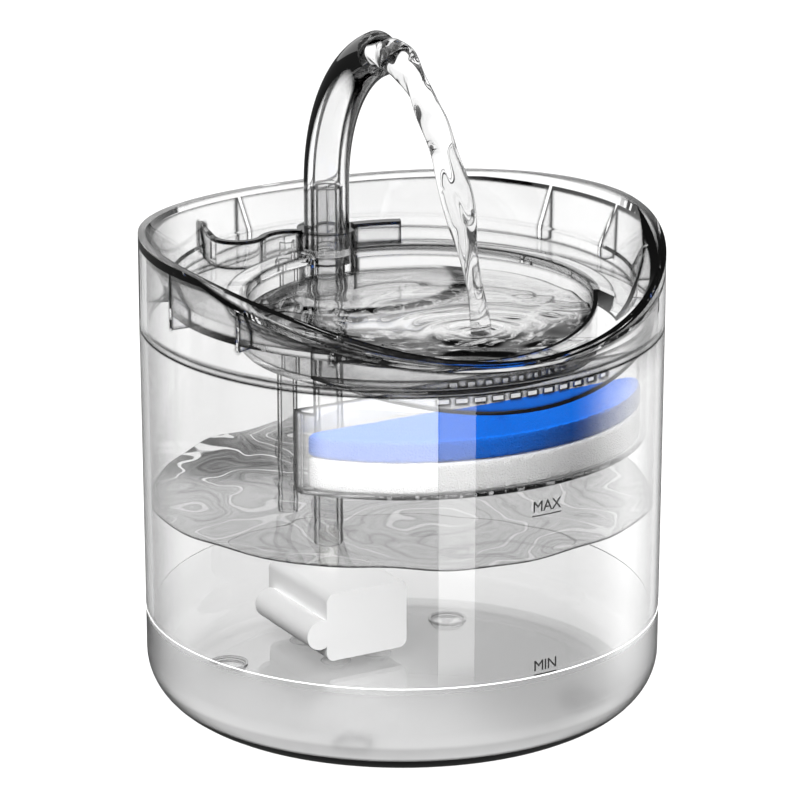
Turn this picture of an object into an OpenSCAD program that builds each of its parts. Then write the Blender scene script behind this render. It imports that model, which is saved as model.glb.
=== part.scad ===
// Pet water fountain: a clear round tank, a drinking tray with a gooseneck
// spout on top of it, a filter box under the tray and a small pump on the
// floor of the tank. Front of the fountain is -Y, up is +Z, millimetres.
// The origin lies under the middle of the tank, on the surface it stands on.

/* [Tank] */
// Outer diameter at the top edge
tank_d = 180; // [165:1:210]
// Height from the underside to the top edge
tank_h = 135; // [128:1:165]
// Thickness of the wall and of the floor
tank_wall = 2.6; // [2.2:0.1:3]
// Radius of the bottom corner
tank_corner_r = 18; // [12:1:22]
// How much smaller the radius is at the bottom than at the top
tank_taper = 0.7; // [0.3:0.1:1.5]
// Height of the thin lip that centres the tray
seat_h = 2; // [1.5:0.5:3]

/* [Feet] */
// Diameter of a foot
foot_d = 12; // [9:0.5:13]
// How far a foot stands below the tank
foot_h = 1.5; // [1:0.1:3]
// Distance of a foot from the middle
foot_ring_r = 64; // [56:1:64]

/* [Tray] */
// Thickness of the skirt above the seam
skirt_wall = 2.6; // [2.4:0.1:3]
// Height of the highest point of the rim above the seam
rim_rise = 33; // [31:1:38]
// How much lower the rim is at the front
front_drop = 25; // [22:1:26]
// How much lower the rim is at the back
back_drop = 5.4; // [3:0.1:8]
// Distance of the highest point of the rim behind the middle
rim_peak_y = 6; // [0:1:12]
// Height of the ledge around the basin above the seam
ledge_rise = 11; // [11:0.5:13]
// Width from the outside of the skirt to the ledge
ledge_inset = 11; // [11:0.5:12]
// Thickness of the ledge, the floors and the inner walls
web = 1.8; // [1.5:0.1:2]
// Thickness of a rib between the skirt and the inner wall
rib_t = 1.2; // [0.8:0.1:1.6]

/* [Basin] */
// Inner radius of the drinking basin
basin_r = 59; // [56:1:59]
// Distance of the middle of the basin in front of the middle of the tank
basin_y = 12; // [11:1:13]
// Height of the basin floor above the seam, negative is below it
basin_floor = -2.5; // [-4:0.5:-1]
// Width of the rounded edge of the basin
bead_w = 7; // [5:0.5:7]
// Height of the rounded edge above the ledge
bead_h = 2; // [1:0.5:3]
// Radius of the raised shelf in front of the spout
shelf_r = 43; // [38:1:45]
// Height of the shelf above the seam
shelf_rise = 3; // [1:0.5:4]
// Height of the splash wall above the ledge
splash_h = 10; // [7:1:12]
// Number of drain slots in the front wall of the basin
drain_n = 8; // [4:1:9]
// Width of a drain slot
drain_w = 2.8; // [2:0.1:3.2]

/* [Spout] */
// Outer diameter of the spout tube
spout_d = 16; // [15.5:0.1:17]
// Bore of the spout tube
spout_bore = 11.4; // [11:0.1:12]
// Distance of the spout behind the middle of the tank
spout_y = 53; // [52:0.5:54]
// Height above the seam where the tube starts to bend
bend_rise = 36; // [34:1:45]
// Radius of the bend
bend_r = 58; // [45:1:64]
// Angle of the bend
bend_angle = 68.5; // [60:0.5:80]
// Wall of the socket that holds the spout
socket_wall = 2.5; // [2:0.1:3]
// Height of the socket above the ledge
socket_rise = 9; // [8:0.5:11]
// How far the spout goes down into the socket
socket_depth = 12; // [11:0.5:12]
// Thickness of the round seal around the foot of the spout
seal_h = 2.4; // [2:0.1:3]
// Outer diameter of the riser pipe
riser_d = 10.6; // [10:0.1:10.8]
// Bore of the riser pipe
riser_bore = 7.4; // [7:0.1:8]
// Distance from the riser to the top of the pump
riser_gap = 7; // [6:0.5:12]

/* [Cord guide] */
// Outer diameter of the guide tube for the cord
guide_d = 7.4; // [6.5:0.1:8]
// Bore of the guide tube
guide_bore = 5; // [4.5:0.1:5.5]
// Sideways place of the guide tube
guide_x = -4.7; // [-8:0.1:0]
// Distance from the axis of the guide tube to the outside of the tank
guide_in = 15; // [15:0.5:17]
// Length of the guide tube
guide_len = 100; // [70:1:100]
// Width of the cord notch in the skirt
notch_w = 7; // [5:0.5:9]

/* [Filter box] */
// Thickness of the walls of the filter box
box_wall = 1.2; // [1:0.1:1.6]
// Depth of the filter box below the seam
box_drop = 36.5; // [34:0.5:40]
// Distance of its flat back wall in front of the middle
box_back_y = 46; // [40:1:50]
// Half of the angle that the curved front wall spans
box_half_angle = 53; // [48:1:54]
// Height of the back wall
box_back_h = 28; // [24:1:29]
// Height of the curved front wall above the seam
box_front_rise = 4.5; // [3:0.5:5]
// Number of overflow slots in the front wall
overflow_n = 11; // [7:1:13]
// Width of each overflow slot
overflow_w = 4; // [3:0.1:4.4]
// Thickness of the white filter pad
cotton_t = 11; // [9:0.5:12]
// Thickness of the blue sponge
sponge_t = 7.5; // [6:0.5:9]
// Thickness of the carbon layer inside the white pad
carbon_t = 4; // [3:0.5:5]

/* [Pump] */
// Width of the pump housing
pump_w = 32.5; // [31:0.5:36]
// Length of the motor part of the housing
pump_len = 39.5; // [38:0.5:42]
// Height of the housing
pump_h = 25; // [24.5:0.5:28]
// Thickness of the housing
pump_wall = 1.6; // [1.4:0.1:1.8]
// Radius of the long edges of the housing
pump_edge_r = 3; // [2.5:0.5:4]
// Depth of the intake cover behind the housing
cover_len = 4; // [3:0.5:6]
// Sideways place of the pump
pump_x = -2; // [-3:0.5:-1]
// Height of a suction cup
cup_h = 3.5; // [3:0.5:5]
// Diameter of a suction cup
cup_d = 11; // [9:0.5:12]
// Radius of the cord channel on the side of the housing
channel_r = 5.4; // [4.8:0.1:6]
// Diameter of the impeller
impeller_d = 17; // [15:0.5:17.5]
// Number of blades
blade_n = 5; // [4:1:7]
// Diameter of the magnet on the rotor
magnet_d = 9; // [8:0.2:9.4]
// Diameter of the rotor shaft
shaft_d = 2; // [1.5:0.1:2.5]

/* [Fits] */
// Gap between pieces that slide past each other
slide_gap = 0.3; // [0.2:0.05:0.4]
// Gap between pieces that are pushed together
fit_gap = 0.05; // [0.04:0.01:0.08]
// Gap around the magnet and the impeller
rotor_gap = 0.5; // [0.4:0.05:0.6]

/* [Hidden] */
$fn = 96;
eps = 0.01;

// Levels, all above the surface that the fountain stands on
tank_r = tank_d / 2;
seam_z = foot_h + tank_h;
floor_z = foot_h + tank_wall;
ledge_z = seam_z + ledge_rise;
basin_z = seam_z + basin_floor;
shelf_z = seam_z + shelf_rise;
rim_z = seam_z + rim_rise;
bead_z = ledge_z + bead_h;
socket_z = ledge_z + socket_rise;
spout_z = socket_z - socket_depth;
bend_z = seam_z + bend_rise;

// Rim: an arch along X cuts the top of the tray
front_run = tank_r + rim_peak_y;
back_run = tank_r - rim_peak_y;
front_arc_r = arc_radius(front_run, front_drop);
back_arc_r = arc_radius(back_run, back_drop);
rim_land = 2.4;

// Tray radii
skirt_in_r = tank_r - skirt_wall;
ledge_r = tank_r - ledge_inset;
throat_h = 4;
funnel_slope = 0.5;
basin_out_r = basin_r + web;
socket_r = spout_d / 2 + fit_gap + socket_wall;

// Front scoop: a leaning cone between the basin and the rim
scoop_low = 5.5;
scoop_tilt = 13.5;
scoop_slope = 0.46;
scoop_run = 45;
shelf_y = spout_y - 15;

// Apron in front, which leads the drained water into the filter box
apron_t = 1.8;
apron_gap = 0.4;
apron_drop = 16.5;
apron_half_angle = 50;
apron_out_r = tank_r - tank_wall - tank_taper - apron_gap;
apron_in_r = apron_out_r - apron_t;

// Filter box
box_r = apron_in_r - slide_gap;
box_z = seam_z - box_drop;
box_top = seam_z + box_front_rise;
box_in_r = box_r - box_wall;
pad_gap = 0.5;
pad_r = box_in_r - pad_gap;
pad_z = box_z + box_wall;
sponge_z = pad_z + cotton_t;
carbon_margin = 4;

// Pump: the impeller lies under the spout
pump_z = floor_z + cup_h;
pump_axis_z = pump_z + pump_h / 2;
pump_top = pump_z + pump_h;
riser_z = pump_top + riser_gap;
nozzle_d = riser_bore - 2 * slide_gap;
nozzle_bore = nozzle_d - 2.4;
nozzle_lap = 5;
impeller_h = 6;
chamber_wall = 1.2;
chamber_r = impeller_d / 2 + rotor_gap + 0.4;
flange_r = chamber_r + chamber_wall;
chamber_len = impeller_h + 2 * rotor_gap;
chamber_y = spout_y - chamber_len / 2;
seal_t = 1;
chamber_cover_y = chamber_y + chamber_len + seal_t;
plug_len = 2;
bush_d = 5;
bush_len = 2;
pump_back_y = chamber_cover_y + bush_len + plug_len - 0.5;
pump_front_y = pump_back_y - pump_len;
magnet_len = 15;
can_wall = 0.9;
can_r = magnet_d / 2 + rotor_gap;
can_len = magnet_len + 3;
can_y = chamber_y - chamber_wall - can_len;
shaft_end_gap = 0.3;
cup_inset = 8;
gland_d = 4.6;
gland_len = 6;
channel_out = 2.4;
channel_drop = 2;

// Stator: a C of iron sheets, its poles around the can and its coil beside it
core_len = 12;
pole_half_h = 9.2;
pole_x = 6.8;
bar_t = 3.5;
coil_t = 2.5;
bar_x = -(can_r + can_wall + coil_t + 1.2 + bar_t);
window_half_h = 5.8;
pole_gap = 5;

function arc_radius(run, drop) = (run * run + drop * drop) / (2 * drop);
// Inner radius of the tank at a height above its underside
function wall_r(h) = tank_r - tank_taper * (1 - (h - tank_corner_r) / (tank_h - tank_corner_r));

// A tube that stands on z = 0
module tube(r_out, r_in, h) {
    difference() {
        cylinder(r = r_out, h = h);
        translate([0, 0, -1]) cylinder(r = r_in, h = h + 2);
    }
}

// A curved wall around the Z axis, from angle a0 to a1, of middle radius r
module arc_wall(r, t, a0, a1, h) {
    rotate([0, 0, a0]) rotate_extrude(angle = a1 - a0) translate([r - t / 2, 0]) square([t, h]);
}

// A wedge of half angle a that opens towards the front, reach r
module front_wedge(a, r, h) {
    rotate([0, 0, -90 - a]) rotate_extrude(angle = 2 * a) square([r, h]);
}

// A round bar along Y that starts at y = 0
module along_y(r, len) {
    rotate([-90, 0, 0]) cylinder(r = r, h = len);
}

// A box with rounded long edges along Y
module soft_box(w, len, h, r) {
    rotate([-90, 0, 0]) linear_extrude(height = len) {
        translate([-w / 2 + r, -h / 2]) square([w - 2 * r, h]);
        translate([-w / 2, -h / 2 + r]) square([w, h - 2 * r]);
        for (sx = [-1, 1], sz = [-1, 1]) {
            translate([sx * (w / 2 - r), sz * (h / 2 - r)]) circle(r = r);
        }
    }
}

// Side view of the body below the rim, lowered by drop
module rim_outline(drop) {
    intersection() {
        translate([rim_peak_y, rim_z - drop - front_arc_r]) circle(r = front_arc_r, $fn = 720);
        translate([-2 * tank_r, 0]) square([2 * tank_r + rim_peak_y, rim_z]);
    }
    intersection() {
        translate([rim_peak_y, rim_z - drop - back_arc_r]) circle(r = back_arc_r, $fn = 1440);
        translate([rim_peak_y, 0]) square([2 * tank_r, rim_z]);
    }
}

// Everything below the arched rim
module under_rim(drop) {
    rotate([90, 0, 90]) translate([0, 0, -tank_d]) linear_extrude(height = 2 * tank_d) rim_outline(drop);
}

// Half section of the tank wall, with its rounded bottom corner
module tank_section(inset) {
    low_r = wall_r(tank_corner_r);
    polygon([[0, tank_corner_r], [low_r - inset, tank_corner_r],
        [tank_r - inset, tank_h + inset], [0, tank_h + inset]]);
    translate([0, inset]) square([low_r - tank_corner_r, tank_corner_r]);
    intersection() {
        translate([low_r - tank_corner_r, tank_corner_r]) circle(r = tank_corner_r - inset);
        square([low_r, tank_corner_r]);
    }
}

// Four copies on the diagonals
module on_diagonals(r) {
    for (a = [45:90:315]) rotate([0, 0, a]) translate([r, 0, 0]) children();
}

module tank() color([0.9, 0.93, 0.95, 0.4]) {
    recess = 1;
    ring_h = 0.8;
    difference() {
        union() {
            translate([0, 0, foot_h]) difference() {
                rotate_extrude($fn = 180) tank_section(0);
                rotate_extrude($fn = 180) tank_section(tank_wall);
            }
            translate([0, 0, seam_z]) tube(tank_r - tank_wall / 2, tank_r - tank_wall, seat_h);
            translate([0, 0, floor_z - eps]) on_diagonals(foot_ring_r)
                tube(foot_d / 2 + 1, foot_d / 2, ring_h);
        }
        translate([0, 0, foot_h - 1]) on_diagonals(foot_ring_r)
            cylinder(d = foot_d + 2 * fit_gap, h = 1 + recess);
    }
}

module tank_feet() color([0.85, 0.87, 0.88, 0.6]) {
    recess = 1;
    on_diagonals(foot_ring_r) {
        cylinder(d1 = foot_d - 1.5, d2 = foot_d, h = foot_h / 2);
        translate([0, 0, foot_h / 2]) cylinder(d = foot_d, h = foot_h / 2 + recess);
    }
}

// Inner wall of the tray: a throat above the ledge, then a funnel up to the rim
module funnel_section() {
    top_r = skirt_in_r + 0.4;
    run = top_r - ledge_r;
    low_z = ledge_z + throat_h;
    polygon([[ledge_r, ledge_z - web], [ledge_r + web, ledge_z - web], [ledge_r + web, low_z + web / 4],
        [top_r, low_z + (run - web) / funnel_slope + web / 4], [top_r, low_z + run / funnel_slope],
        [ledge_r, low_z]]);
}

// The space that the funnel opens
module funnel_hollow() {
    reach = 30;
    low_z = ledge_z + throat_h;
    rotate_extrude() polygon([[0, ledge_z], [ledge_r, ledge_z], [ledge_r, low_z],
        [ledge_r + reach * funnel_slope, low_z + reach], [0, low_z + reach]]);
}

module tray_skirt() {
    translate([0, 0, seam_z]) difference() {
        tube(tank_r, skirt_in_r, rim_rise);
        translate([0, 0, -1]) cylinder(r = tank_r - tank_wall / 2 + slide_gap / 2, h = seat_h + slide_gap + 1);
    }
    rotate_extrude() funnel_section();
    difference() {
        intersection() {
            translate([0, 0, ledge_z]) cylinder(r = tank_r, h = rim_rise - ledge_rise);
            difference() {
                under_rim(0);
                under_rim(rim_land);
            }
        }
        funnel_hollow();
    }
}

module tray_ribs() {
    low_z = ledge_z - web + 0.4;
    mid_r = ledge_r + web / 2;
    reach = skirt_in_r + 0.3 - mid_r;
    for (side = [-1, 1], a = [45, 67.5, 90, 112.5, 167.5]) {
        rotate([0, 0, -90 + side * a]) rotate([90, 0, 0]) translate([0, 0, -rib_t / 2])
            linear_extrude(height = rib_t)
                polygon([[mid_r, low_z], [mid_r + reach, low_z],
                    [mid_r + reach, ledge_z + throat_h + reach / funnel_slope], [mid_r, ledge_z + throat_h]]);
    }
}

// The leaning cone that opens the front of the tray, lowered by drop
module scoop(drop) {
    intersection() {
        translate([0, -basin_y - basin_r, seam_z + scoop_low - drop]) rotate([scoop_tilt, 0, 0])
            translate([0, basin_r, 0])
                cylinder(r1 = basin_r + 1, r2 = basin_r + 1 + scoop_run, h = scoop_run * scoop_slope);
        cylinder(r = skirt_in_r + drop / 4, h = 2 * seam_z);
    }
}

// Round holes of the tray, seen from above, that hold the basin and its shelf
module basin_at(r, z, h) {
    translate([0, -basin_y, z]) cylinder(r = r, h = h);
}

module shelf_at(r, z, h) {
    translate([0, shelf_y, z]) cylinder(r = r, h = h);
}

module basin() {
    // Floor of the deep part, wall of the shelf and the shelf itself
    difference() {
        basin_at(basin_out_r, basin_z - web, web);
        shelf_at(shelf_r - web, basin_z - web - 1, web + 2);
    }
    intersection() {
        basin_at(basin_out_r, basin_z - web, tank_h);
        union() {
            shelf_at(shelf_r, shelf_z - web, web);
            difference() {
                shelf_at(shelf_r, basin_z - web, shelf_z - basin_z + web);
                shelf_at(shelf_r - web, basin_z - web - 1, shelf_z - basin_z + web + 2);
            }
        }
    }
    // Wall with its rounded edge
    difference() {
        union() {
            basin_at(basin_out_r, basin_z - web, bead_z - basin_z + web);
            basin_at(basin_r + bead_w, ledge_z - web, web + bead_h);
        }
        basin_at(basin_r, basin_z - web - 1, tank_h);
    }
}

// Wall that keeps splashes away from the cord notch
module splash_wall() {
    t = 2;
    turn_r = 9;
    turn_x = -33;
    turn_y = spout_y + 4.5;
    back_r = 11;
    tail_a = 13;
    tail_len = 19.4;
    turn_end = 314;
    back_end = 134;
    keep_from = 66;
    keep_to = 82;
    joint_x = turn_x + turn_r * cos(45);
    joint_y = turn_y - turn_r * sin(45);
    h = splash_h + web;
    intersection() {
        translate([-tank_r, 0, ledge_z - web / 2]) cube([tank_d, tank_r, splash_h + web / 2]);
        translate([0, 0, ledge_z - web]) {
            translate([turn_x, turn_y, 0]) {
                arc_wall(turn_r, t, 180 - tail_a, turn_end, h + 1);
                rotate([0, 0, -tail_a]) translate([-turn_r - t / 2, 0, 0]) cube([t, tail_len, h + 1]);
            }
            translate([joint_x, joint_y, 0]) cylinder(r = 0.6 * t, h = h + 1);
            translate([joint_x + back_r * cos(45), joint_y - back_r * sin(45), 0])
                arc_wall(back_r, t, 45, back_end, h + 1);
            translate([0, -basin_y, 0]) arc_wall(basin_out_r + web, 2 * web, keep_from, keep_to, h + 1);
        }
    }
}

module drain_slots() {
    slot_h = 1.8;
    step = 5.7;
    for (i = [0:drain_n - 1]) {
        translate([0, -basin_y, basin_z + 0.4])
            rotate([0, 0, -90 + (i - (drain_n - 1) / 2) * step])
                translate([basin_r - 1, -drain_w / 2, 0]) cube([web + 2, drain_w, slot_h]);
    }
}

module apron() {
    difference() {
        translate([0, 0, seam_z - tank_h / 4])
            arc_wall((apron_in_r + apron_out_r) / 2, apron_t, -90 - apron_half_angle,
                -90 + apron_half_angle, tank_h / 4 + ledge_rise + throat_h);
        under_rim(apron_drop + rim_land);
    }
}

module drinking_tray() color([0.93, 0.95, 0.96, 0.4]) {
    spigot_h = 8;
    difference() {
        intersection() {
            union() {
                tray_skirt();
                tray_ribs();
                difference() {
                    translate([0, 0, ledge_z - web]) cylinder(r = ledge_r + web / 2, h = web);
                    basin_at(basin_r, ledge_z - web - 1, web + 2);
                }
                basin();
                difference() {
                    scoop(web);
                    funnel_hollow();
                }
                apron();
            }
            under_rim(0);
        }
        scoop(0);
        basin_at(basin_r, shelf_z, tank_h);
        difference() {
            basin_at(basin_r, basin_z, tank_h);
            shelf_at(shelf_r, basin_z - 1, tank_h);
        }
        drain_slots();
        translate([0, spout_y, basin_z - web - 1]) cylinder(r = socket_r - 1, h = rim_rise);
        // Notch for the cord in the back of the skirt
        translate([-guide_x - notch_w / 2, skirt_in_r - 8, seam_z - 1])
            cube([notch_w, 2 * skirt_wall + 8, ledge_rise - web - 1]);
    }
    difference() {
        union() {
            splash_wall();
            // Socket for the spout, with a shoulder for its foot and a sleeve for the riser
            translate([0, spout_y, shelf_z - web]) cylinder(r = socket_r, h = socket_z - shelf_z + web);
            translate([0, spout_y, shelf_z - web - spigot_h])
                cylinder(r = riser_d / 2 + fit_gap + web, h = spigot_h + eps);
        }
        translate([0, spout_y, spout_z]) cylinder(d = spout_d + 2 * fit_gap, h = tank_h);
        translate([0, spout_y, seam_z - 20]) cylinder(d = riser_d + 2 * fit_gap, h = tank_h);
    }
}

module spout() color([0.92, 0.94, 0.95, 0.5]) {
    lead = bend_z - spout_z;
    seal_w = 1.2;
    bend_bore = spout_bore - 1.6;
    translate([0, spout_y, 0]) {
        difference() {
            translate([0, 0, spout_z]) tube(spout_d / 2, spout_bore / 2, lead);
            translate([0, 0, spout_z + 3]) tube(spout_d, spout_d / 2 - seal_w, seal_h + 2 * fit_gap);
        }
        translate([0, -bend_r, bend_z]) rotate([90, 0, 90]) rotate_extrude(angle = bend_angle)
            translate([bend_r, 0]) difference() {
                circle(d = spout_d, $fn = 64);
                circle(d = bend_bore, $fn = 64);
            }
    }
}

module spout_seal() color([0.8, 0.82, 0.84, 0.8]) {
    seal_w = 1.2;
    translate([0, spout_y, spout_z + 3 + fit_gap])
        tube(spout_d / 2, spout_d / 2 - seal_w + fit_gap, seal_h);
}

module riser_pipe() color([0.93, 0.95, 0.96, 0.4]) {
    translate([0, spout_y, riser_z]) tube(riser_d / 2, riser_bore / 2, bend_z - 1 - riser_z);
}

module cord_guide() color([0.9, 0.92, 0.93, 0.5]) {
    window_h = 9;
    translate([guide_x, tank_r - guide_in, ledge_z - web - guide_len]) difference() {
        tube(guide_d / 2, guide_bore / 2, guide_len);
        translate([-guide_d / 2 - 1, 0, guide_len - window_h])
            cube([guide_d + 2, guide_d, window_h + 1]);
    }
}

// Plan of the filter box: a slice of a disc, moved in by inset
module box_plan(inset) {
    intersection() {
        circle(r = box_r - inset, $fn = 180);
        translate([-tank_r, -tank_r]) square([2 * tank_r, tank_r - box_back_y - inset]);
        translate([-box_r * sin(box_half_angle) + inset, -tank_r])
            square([2 * (box_r * sin(box_half_angle) - inset), tank_r]);
    }
}

module filter_box() color([0.95, 0.97, 0.98, 0.4]) {
    hole_d = 4;
    hole_pitch = 10;
    overflow_step = 4.2;
    overflow_h = 1.8;
    overflow_drop = 3.9;
    back_top = box_z + box_back_h;
    difference() {
        translate([0, 0, box_z]) linear_extrude(height = box_top - box_z) box_plan(0);
        translate([0, 0, pad_z]) linear_extrude(height = tank_h) box_plan(box_wall);
        // The flat back is lower, so that the basin stays clear of it
        difference() {
            translate([-tank_r, -tank_r, back_top]) cube([2 * tank_r, tank_r, tank_h]);
            translate([0, 0, back_top - 1])
                arc_wall(box_r, 2 * box_wall + 1, -90 - box_half_angle + 3, -90 + box_half_angle - 3, tank_h);
        }
        for (i = [-4:4], j = [0:1]) {
            translate([i * hole_pitch, -box_back_y - 10 - j * hole_pitch, box_z - 1])
                cylinder(d = hole_d, h = box_wall + 2, $fn = 32);
        }
        // Row of overflow slots high in the curved front
        for (i = [0:overflow_n - 1]) {
            translate([0, 0, seam_z - overflow_drop])
                rotate([0, 0, -90 + (i - (overflow_n - 1) / 2) * overflow_step])
                    translate([box_in_r - 1, -overflow_w / 2, 0]) cube([box_wall + 2, overflow_w, overflow_h]);
        }
    }
}

module pad_plan(inset) {
    box_plan(box_wall + pad_gap + inset);
}

module filter_cotton() color("white") {
    difference() {
        translate([0, 0, pad_z]) linear_extrude(height = cotton_t) pad_plan(0);
        translate([0, 0, pad_z + (cotton_t - carbon_t) / 2 - slide_gap])
            linear_extrude(height = carbon_t + 2 * slide_gap) pad_plan(carbon_margin);
    }
}

module filter_carbon() color([0.12, 0.12, 0.12]) {
    translate([0, 0, pad_z + (cotton_t - carbon_t) / 2 - slide_gap])
        linear_extrude(height = carbon_t) pad_plan(carbon_margin + slide_gap);
}

module filter_sponge() color([0.02, 0.42, 0.95]) {
    translate([0, 0, sponge_z]) linear_extrude(height = sponge_t) pad_plan(0);
}

// Places its children on the middle of the housing
module at_pump(y) {
    translate([pump_x, y, pump_axis_z]) children();
}

// Places its children on the axis of the rotor
module at_rotor(y) {
    translate([0, y, pump_axis_z]) children();
}

// Places its children in the cord channel on the side of the housing
module at_channel(y) {
    translate([pump_x - pump_w / 2 - channel_out, y, pump_axis_z - channel_drop]) children();
}

module pump_housing() color("white") {
    difference() {
        union() {
            at_pump(pump_front_y) soft_box(pump_w, pump_len, pump_h, pump_edge_r);
            at_channel(pump_front_y) along_y(channel_r, pump_len);
        }
        at_pump(pump_front_y + pump_wall)
            soft_box(pump_w - 2 * pump_wall, pump_len, pump_h - 2 * pump_wall, pump_edge_r - 1);
        at_channel(pump_back_y - gland_len) along_y(gland_d / 2 + fit_gap, gland_len + 1);
        translate([0, spout_y, pump_top - 2 * pump_wall])
            cylinder(d = nozzle_d + 2 * slide_gap, h = 3 * pump_wall);
    }
}

module cord_gland() color([0.9, 0.9, 0.9]) {
    cord_d = 2.2;
    at_channel(pump_back_y - gland_len) difference() {
        union() {
            along_y(gland_d / 2, gland_len);
            along_y(gland_d / 2 - 0.7, gland_len + 3);
        }
        translate([0, -1, 0]) along_y(cord_d / 2, gland_len + 5);
    }
}

module intake_cover() color("white") {
    slot_n = 6;
    slot_w = 2;
    slot_h = pump_h - 11;
    rim_t = 1;
    inner_w = pump_w - 2 * pump_wall - 2 * slide_gap;
    inner_h = pump_h - 2 * pump_wall - 2 * slide_gap;
    difference() {
        union() {
            at_pump(pump_back_y) soft_box(pump_w, cover_len, pump_h, pump_edge_r);
            at_pump(pump_back_y - plug_len) soft_box(inner_w, plug_len + 1, inner_h, pump_edge_r - 1);
        }
        at_pump(pump_back_y - plug_len - 1)
            soft_box(inner_w - 2 * rim_t, cover_len - pump_wall + plug_len + 1, inner_h - 2 * rim_t,
                pump_edge_r - 1.5);
        for (i = [0:slot_n - 1]) {
            at_pump(pump_back_y) translate([((i - (slot_n - 1) / 2) * 2 - 0.5) * slot_w, 0, -slot_h / 2])
                cube([slot_w, cover_len + 1, slot_h]);
        }
    }
}

module motor_can() color([0.93, 0.93, 0.9]) {
    difference() {
        union() {
            at_rotor(can_y - can_wall) along_y(can_r + can_wall, can_len + can_wall + eps);
            at_rotor(can_y + can_len) along_y(flange_r, chamber_wall);
        }
        at_rotor(can_y + bush_len) along_y(can_r, can_len + chamber_wall);
        at_rotor(can_y) along_y(bush_d / 2 + fit_gap, can_len);
    }
}

module stator_core() color([0.45, 0.46, 0.48]) {
    y = can_y + (can_len - core_len) / 2;
    difference() {
        at_rotor(y) translate([bar_x, 0, -pole_half_h]) cube([pole_x - bar_x, core_len, 2 * pole_half_h]);
        at_rotor(y - 1) {
            along_y(can_r + can_wall + fit_gap, core_len + 2);
            translate([bar_x + bar_t, 0, -window_half_h])
                cube([coil_t + 0.5, core_len + 2, 2 * window_half_h]);
            translate([bar_x + bar_t + coil_t, 0, -pole_gap / 2])
                cube([pole_x - bar_x, core_len + 2, pole_gap]);
        }
    }
}

module stator_coil() color([0.72, 0.36, 0.15]) {
    y = can_y + (can_len - core_len) / 2;
    half_h = window_half_h - slide_gap;
    at_rotor(y) translate([bar_x, 0, -half_h]) difference() {
        translate([-coil_t, -coil_t, 0])
            cube([bar_t + 2 * coil_t, core_len + 2 * coil_t, 2 * half_h]);
        translate([-fit_gap, -fit_gap, -1])
            cube([bar_t + 2 * fit_gap, core_len + 2 * fit_gap, 2 * half_h + 2]);
    }
}

module impeller_chamber() color([0.95, 0.95, 0.93]) {
    difference() {
        union() {
            at_rotor(chamber_y) along_y(flange_r, chamber_len);
            translate([0, spout_y, pump_axis_z])
                cylinder(d = nozzle_d, h = riser_z + nozzle_lap - pump_axis_z);
        }
        at_rotor(chamber_y - 1) along_y(chamber_r, chamber_len + 2);
        translate([0, spout_y, pump_axis_z]) cylinder(d = nozzle_bore, h = pump_h * 2);
    }
}

module chamber_cover() color([0.95, 0.95, 0.93]) {
    eye_r = 5.5;
    hub_r = bush_d / 2 + 1;
    difference() {
        at_rotor(chamber_cover_y) along_y(flange_r, chamber_wall);
        difference() {
            at_rotor(chamber_cover_y - 1) along_y(eye_r, chamber_wall + 2);
            for (a = [0:60:120]) {
                at_rotor(chamber_cover_y - 2) rotate([0, a, 0]) translate([-eye_r - 1, 0, -0.6])
                    cube([2 * eye_r + 2, chamber_wall + 4, 1.2]);
            }
            at_rotor(chamber_cover_y - 2) along_y(hub_r, chamber_wall + 4);
        }
        at_rotor(chamber_cover_y - 1) along_y(bush_d / 2 + fit_gap, chamber_wall + 3);
    }
}

module chamber_seal() color([0.1, 0.1, 0.1]) {
    at_rotor(chamber_y + chamber_len) difference() {
        along_y(flange_r, seal_t);
        translate([0, -1, 0]) along_y(chamber_r, seal_t + 2);
    }
}

module impeller() color([0.2, 0.35, 0.6]) {
    y = spout_y - impeller_h / 2;
    hub_r = 2.6;
    blade_t = 1;
    difference() {
        union() {
            at_rotor(y) along_y(impeller_d / 2, 1);
            at_rotor(y) along_y(hub_r, impeller_h);
            for (i = [0:blade_n - 1]) {
                at_rotor(y) rotate([0, i * 360 / blade_n, 0]) translate([1.5, 0, -blade_t / 2])
                    cube([impeller_d / 2 - 2, impeller_h - 0.5, blade_t]);
            }
        }
        at_rotor(y - 1) along_y(shaft_d / 2 + fit_gap, impeller_h + 2);
    }
}

module rotor_magnet() color([0.25, 0.25, 0.27]) {
    y = spout_y - impeller_h / 2 - magnet_len;
    at_rotor(y) difference() {
        along_y(magnet_d / 2, magnet_len);
        translate([0, -1, 0]) along_y(shaft_d / 2 + fit_gap, magnet_len + 2);
    }
}

module rotor_shaft() color([0.85, 0.83, 0.8]) {
    y = can_y + shaft_end_gap;
    at_rotor(y) along_y(shaft_d / 2, chamber_cover_y + bush_len - shaft_end_gap - y);
}

module shaft_bushes() color([0.15, 0.15, 0.15]) {
    for (y = [can_y, chamber_cover_y]) {
        at_rotor(y) difference() {
            along_y(bush_d / 2, bush_len);
            translate([0, -1, 0]) along_y(shaft_d / 2 + fit_gap / 2, bush_len + 2);
        }
    }
}

module suction_cups() color([0.9, 0.92, 0.93, 0.5]) {
    for (sx = [-1, 1], y = [pump_front_y + cup_inset, pump_back_y - cup_inset]) {
        translate([pump_x + sx * (pump_w / 2 - cup_inset), y, floor_z]) difference() {
            union() {
                cylinder(d1 = cup_d, d2 = cup_d / 2, h = cup_h - 1);
                translate([0, 0, cup_h - 1 - eps]) cylinder(d = cup_d / 2, h = 1 + eps);
            }
            translate([0, 0, -eps]) cylinder(d1 = cup_d - 2, d2 = 1, h = cup_h / 2);
        }
    }
}

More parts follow.
